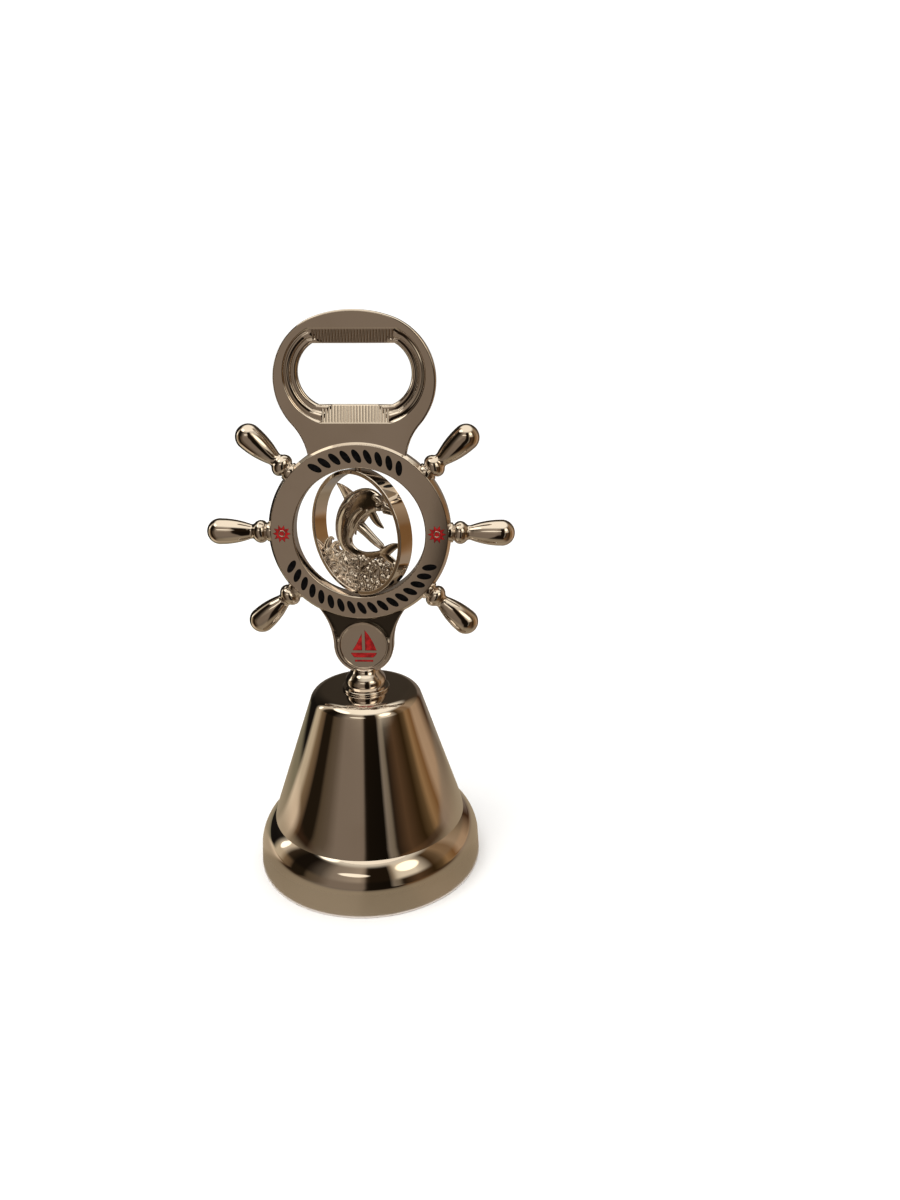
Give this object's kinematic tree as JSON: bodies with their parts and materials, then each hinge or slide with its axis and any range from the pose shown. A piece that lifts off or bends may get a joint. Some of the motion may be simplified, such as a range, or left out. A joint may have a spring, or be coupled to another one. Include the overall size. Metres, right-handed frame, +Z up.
{
  "type": "souvenir bell bottle opener",
  "caption": "Plated metal table bell whose flat handle is a ship's wheel with a spinning dolphin medallion and a bottle opener head on top.",
  "frame": {"origin": "centre of the bell's rim, on the surface that it stands on", "axes": "+Z up along the bell's axis to the opener's top, -Y out of the front of the wheel and opener, +X to the right as seen from the front"},
  "size_m": [0.0708, 0.0556, 0.1329],
  "materials": {
    "plated_handle": "mirror nickel plating over die-cast zinc",
    "plated_bell": "mirror nickel plating, satin band above the rim",
    "plated_medallion": "mirror nickel plating over a cast relief",
    "plain_steel": "plain zinc-plated steel wire and screw",
    "clapper_ball": "dull turned brass",
    "black_enamel": "glossy black soft enamel, sunk a little below the metal",
    "red_enamel": "glossy translucent red enamel, sunk a little below the metal"
  },
  "bodies": {
    "bell_and_handle": {"opener_head": "plated_handle", "wheel_rim": "plated_handle", "tongue": "plated_handle", "neck_collar": "plated_handle", "spoke_right": "plated_handle", "spoke_upper_right": "plated_handle", "spoke_upper_left": "plated_handle", "spoke_left": "plated_handle", "spoke_lower_left": "plated_handle", "spoke_lower_right": "plated_handle", "front_rope_enamel": "black_enamel", "back_rope_enamel": "black_enamel", "front_right_sun_enamel": "red_enamel", "front_left_sun_enamel": "red_enamel", "back_right_sun_enamel": "red_enamel", "back_left_sun_enamel": "red_enamel", "front_boat_enamel": "red_enamel", "back_boat_enamel": "red_enamel", "bell_shell": "plated_bell", "crown_washer": "plain_steel", "eye_screw": "plain_steel"},
    "medallion": {"medallion_hoop": "plated_medallion", "dolphin": "plated_medallion", "waves": "plated_medallion", "upper_pivot_pin": "plated_medallion", "lower_pivot_pin": "plated_medallion"},
    "clapper_link": {"clapper_link": "plain_steel"},
    "clapper": {"clapper_rod": "plain_steel", "clapper_ball": "clapper_ball"}
  },
  "joints": [
    {"name": "medallion_spin", "type": "hinge", "parent": "bell_and_handle", "child": "medallion", "pos_m": [0, 0, 0.0844], "axis": [0, 0, 1], "continuous": true},
    {"name": "clapper_sideways_swing", "type": "hinge", "parent": "bell_and_handle", "child": "clapper_link", "pos_m": [0, 0, 0.03765], "axis": [0, 1, 0], "range_deg": [-25, 25]},
    {"name": "clapper_fore_aft_swing", "type": "hinge", "parent": "clapper_link", "child": "clapper", "pos_m": [0, 0, 0.03325], "axis": [1, 0, 0], "range_deg": [-25, 25]}
  ]
}
